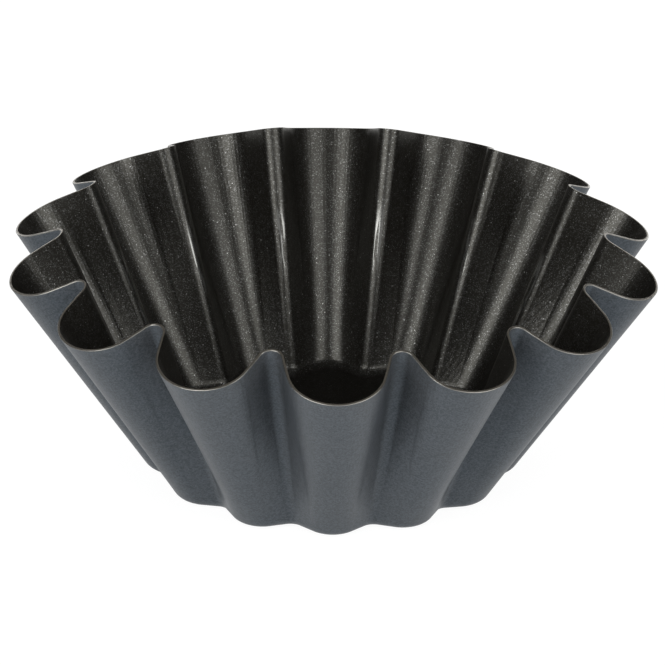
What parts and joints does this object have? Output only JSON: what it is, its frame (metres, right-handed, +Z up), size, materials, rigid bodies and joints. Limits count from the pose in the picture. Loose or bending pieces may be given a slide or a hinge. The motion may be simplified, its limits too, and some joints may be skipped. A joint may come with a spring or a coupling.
{
  "type": "brioche mould",
  "caption": "Open fluted tin for baking brioche: one flared sheet-steel pressing with deep round flutes, a flat base and a bare cut rim, black non-stick inside, slate grey outside.",
  "frame": {"origin": "centre of the underside of the flat base, on the surface that the tin stands on", "axes": "+Z up along the tin's axis, out of its mouth; the tip of one lobe points to -Y, which is the front, and another to +Y"},
  "size_m": [0.2154, 0.22, 0.0816],
  "materials": {
    "bare_steel": "sheared edge, bare",
    "nonstick_black": "satin black with a fine metallic fleck",
    "slate_coating": "smooth satin"
  },
  "bodies": {
    "root": {"steel_shell": "bare_steel", "nonstick_lining": "nonstick_black", "outer_coating": "slate_coating", "underside_coating": "slate_coating"}
  },
  "joints": []
}
